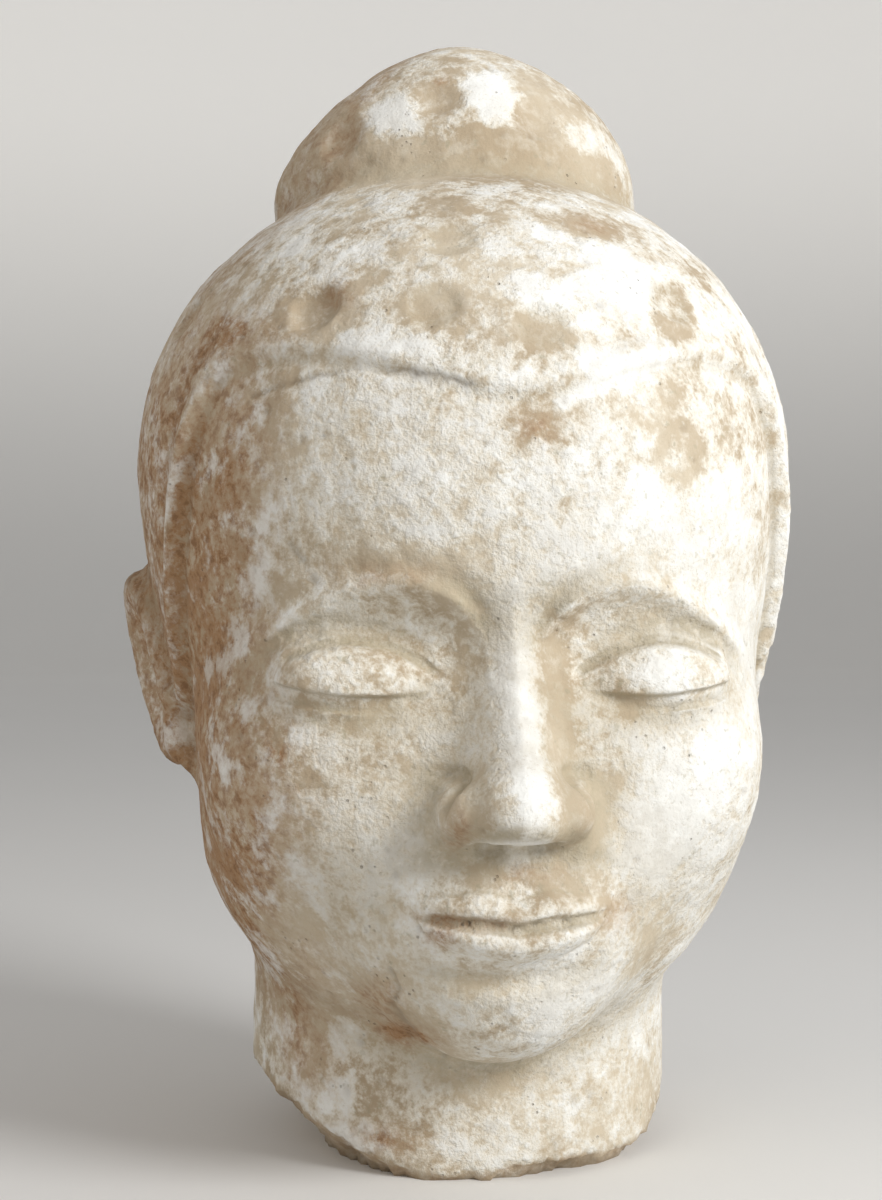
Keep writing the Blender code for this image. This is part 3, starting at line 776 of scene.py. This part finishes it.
stuccoValues = {
    "slip": tone(0.91, 0.91, 0.895),
    "slipShade": tone(0.875, 0.87, 0.85),
    "cream": tone(0.85, 0.825, 0.77),
    "ground": tone(0.765, 0.715, 0.63),
    "groundDark": tone(0.67, 0.605, 0.51),
    # earth brown, also used for painted warm shade on the left side
    "soilAndShade": tone(0.62, 0.475, 0.335),
    "soilDark": tone(0.47, 0.335, 0.22),
    # colour of painted shade, with some dirt, in hollows and folds
    "recessShadeAndDirt": tone(0.65, 0.605, 0.51),
    "speck": tone(0.60, 0.585, 0.50),
    "pitDark": tone(0.42, 0.36, 0.28),
    "blotchSize": 0.012,
    "speckleSize": 0.0032,
    "grainSize": 0.0007,
    "waveBump": 0.0007,
    "slipEdge": 0.00016,
    "grainBump": 0.00014,
    "pinholeDepth": 0.0003,
    "specular": 0.28,
}


def stuccoFinish():
    m = Finish("stucco")
    v = stuccoValues
    bare = m.field("bare")
    soilAndShade = m.field("soilAndShade")
    hollow = m.field("hollow")
    markAndShade = m.field("markAndShade")
    # how much slip is left: soft blotches, broken up by speckles
    large = m.cloud(v["blotchSize"], 5, 0.6, 0.3)
    small = m.cloud(v["speckleSize"], 5, 0.65, 0.15, (3.1, 0.4, 1.7))
    tiny = m.cloud(v["speckleSize"] * 0.33, 3, 0.62, 0, (0.9, 5.2, 2.2))
    cover = large * 0.42 + small * 0.38 + tiny * 0.22 - (bare - 0.5) * 0.46
    creamy = cover.smooth(0.40, 0.53)      # 0 bare ground, 1 slip that lets the ground through
    white = cover.smooth(0.47, 0.62)       # 1 thick white slip
    slow = m.cloud(0.03, 3, 0.5, 0, (7.0, 1.0, 4.0))
    ground = m.mix(slow.smooth(0.35, 0.65), v["groundDark"], v["ground"])
    ground = m.mix(small.smooth(0.42, 0.72) * 0.45, ground, v["cream"])
    tint = m.cloud(0.0075, 4, 0.6, 0.1, (2.0, 8.0, 0.5)).smooth(0.36, 0.62)
    pale = m.mix(tint, v["slipShade"], v["slip"])
    colour = m.mix(creamy, ground, v["cream"])
    colour = m.mix(white, colour, pale)
    # greenish grey specks, painted shade with some dirt in hollows and folds, and brown earth with painted
    # warm shade on the left side
    patch = m.cloud(0.017, 2, 0.5, 0, (4.0, 6.0, 1.0)).smooth(0.40, 0.6)
    speck = m.cloud(0.0018, 2, 0.5, 0, (11.0, 3.0, 6.0)).smooth(0.62, 0.72) * patch
    colour = m.mix(speck * 0.4, colour, v["speck"])
    # painted shade, with some dirt, in hollows and folds
    recessShadeAndDirt = hollow * (small.smooth(0.34, 0.6) * 0.5 + 0.35)
    colour = m.mix(recessShadeAndDirt, colour, v["recessShadeAndDirt"])
    flecks = m.cloud(0.0026, 5, 0.7, 0.2, (6.0, 9.0, 2.0))
    # dustAndShade: brown earth, with painted warm shade down the left side
    dustAndShade = soilAndShade * (large.smooth(0.38, 0.58) * 0.45 + flecks.smooth(0.40, 0.56) * 0.6 + 0.25)
    dustAndShade = dustAndShade.least(0.9) * (1 - white * 0.55)
    colour = m.mix(dustAndShade, colour, v["soilAndShade"])
    colour = m.mix(flecks.smooth(0.52, 0.64) * dustAndShade * 0.7, colour, v["soilDark"])
    grain = m.cloud(v["grainSize"], 3, 0.7, 0, (5.0, 5.0, 5.0))
    colour = m.mix(grain.smooth(0.44, 0.28) * 0.35, colour, v["groundDark"])
    # fine dark pinholes, the bottoms of pits and scratches, and painted shade in the sideburn grooves, round
    # the ears and above the pale ridge
    pin = m.cells(0.0023, (0.3, 0.1, 0.7)).smooth(0.16, 0.08)
    pin = pin * m.cloud(0.012, 3, 0.6, 0, (8.0, 2.0, 9.0)).smooth(0.52, 0.66)
    colour = m.mix((pin * 0.35).most(markAndShade * 0.7), colour, v["pitDark"])
    roughness = 0.84 + small * 0.14 - white * 0.05
    bumps = (
        (m.cloud(0.005, 3, 0.5, 0, (1.0, 1.0, 6.0)), v["waveBump"]),
        (white + creamy * 0.5, v["slipEdge"]),
        (grain, v["grainBump"]),
        (pin * -1, v["pinholeDepth"]),
    )
    return m.close(colour, roughness, bumps, {"Specular IOR Level": v["specular"]})


stuccoHead.data.materials.append(stuccoFinish())
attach(stuccoHead, "root")
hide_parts("head")
print("stucco finished")


# Floor, light and camera
stageValues = {
    "radius": 3.2,
    "coveRadius": 1.0,
    "coveSteps": 12,
    "rise": 2.6,
    "floor": tone(0.85, 0.845, 0.835),
    "floorPale": tone(0.862, 0.857, 0.847),
    "glow": 0.36,
    "glowColour": tone(1.0, 0.99, 0.97),
    "world": 0.34,
    "worldColour": (0.93, 0.95, 1.0, 1),
    "lightAim": (0, 0, 0.12),
    # power in watts, width, azimuth, elevation, distance, colour
    "keyLight": (9.8, 0.4, 44, 25, 1.05, (0.99, 0.995, 1.0)),
    "fillLight": (1.3, 0.9, -64, 36, 1.1, (1.0, 0.88, 0.76)),
    "topLight": (0.5, 0.7, 20, 78, 1.2, (1.0, 0.99, 0.97)),
    "cameraAzimuth": -7,
    "cameraDistance": 0.475,
    "cameraHeight": 8.27,     # fingers above the chin
    "cameraAside": 0.0050,
    "viewAngle": 32,          # from the top of the picture to its foot
}


def makeStage():
    # a round floor whose rim turns up in a cove, so no edge shows from any side
    deselectAll()
    bpy.ops.mesh.primitive_circle_add(vertices=96, radius=stageValues["radius"], location=(0, 0, 0))
    floor = bpy.context.object
    floor.name = "floor"
    bpy.ops.object.mode_set(mode="EDIT")
    bpy.ops.mesh.select_all(action="SELECT")
    bpy.ops.mesh.edge_face_add()
    bpy.ops.mesh.select_all(action="DESELECT")
    bpy.context.tool_settings.mesh_select_mode = (False, True, False)
    bpy.ops.mesh.select_non_manifold()
    radius = stageValues["radius"]
    cove = stageValues["coveRadius"]
    turn = 90 / stageValues["coveSteps"]
    for step in range(stageValues["coveSteps"]):
        low = math.radians(turn * step)
        high = math.radians(turn * (step + 1))
        up = cove * (math.cos(low) - math.cos(high))
        wider = radius + cove * (math.sin(high) - math.sin(low))
        bpy.ops.mesh.extrude_edges_move(TRANSFORM_OT_translate={"value": (0, 0, up)})
        bpy.ops.transform.resize(value=(wider / radius, wider / radius, 1))
        radius = wider
    bpy.ops.mesh.extrude_edges_move(TRANSFORM_OT_translate={"value": (0, 0, stageValues["rise"])})
    bpy.ops.object.mode_set(mode="OBJECT")
    floor.data.polygons.foreach_set("use_smooth", [True] * len(floor.data.polygons))
    m = Finish("paperFloor")
    soft = m.cloud(0.4, 2, 0.5)
    colour = m.mix(soft, stageValues["floor"], stageValues["floorPale"])
    # the paper of the cove is lit from behind, the floor is not
    height = m.node("ShaderNodeSeparateXYZ", None, {"Vector": m.place}, "Z")
    glow = m.mix(height.smooth(0.05, 1.3), (0, 0, 0, 1), stageValues["glowColour"])
    bumps = ((m.cloud(0.0015, 2), 0.00003),)
    others = {"Specular IOR Level": 0.1, "Emission Color": glow, "Emission Strength": stageValues["glow"]}
    floor.data.materials.append(m.close(colour, 0.95 - soft * 0.05, bumps, others))


def makeLight(name):
    power, size, azimuth, elevation, distance, warmth = stageValues[name]
    data = bpy.data.lights.new(name, "AREA")
    data.shape = "DISK"
    data.size = size
    data.energy = power
    data.color = warmth
    light = bpy.data.objects.new(name, data)
    bpy.context.scene.collection.objects.link(light)
    a = math.radians(azimuth)
    e = math.radians(elevation)
    back = Vector((math.sin(a) * math.cos(e), -math.cos(a) * math.cos(e), math.sin(e)))
    light.location = Vector(stageValues["lightAim"]) + back * distance
    light.rotation_euler = back.to_track_quat("Z", "Y").to_euler()


def makeCamera():
    data = bpy.data.cameras.new("camera")
    camera = bpy.data.objects.new("camera", data)
    bpy.context.scene.collection.objects.link(camera)
    data.sensor_fit = "VERTICAL"
    data.sensor_height = 24
    data.lens = data.sensor_height / 2 / math.tan(math.radians(stageValues["viewAngle"] / 2))
    data.clip_start = 0.01
    azimuth = math.radians(stageValues["cameraAzimuth"])
    back = Vector((math.sin(azimuth), -math.cos(azimuth), 0))
    right = Vector((math.cos(azimuth), math.sin(azimuth), 0))
    height = stageValues["cameraHeight"] * finger + headValues["neckDrop"]
    aim = Vector((0, -headValues["neckSetBack"], height)) - right * stageValues["cameraAside"]
    camera.location = aim + back * stageValues["cameraDistance"]
    camera.rotation_euler = back.to_track_quat("Z", "Y").to_euler()
    bpy.context.scene.camera = camera


makeStage()
for lightName in ("keyLight", "fillLight", "topLight"):
    makeLight(lightName)
world = bpy.data.worlds.new("studio")
world.use_nodes = True
world.node_tree.nodes["Background"].inputs["Color"].default_value = stageValues["worldColour"]
world.node_tree.nodes["Background"].inputs["Strength"].default_value = stageValues["world"]
bpy.context.scene.world = world
makeCamera()
bpy.context.scene.view_settings.view_transform = "Standard"
print("stage, light and camera set")
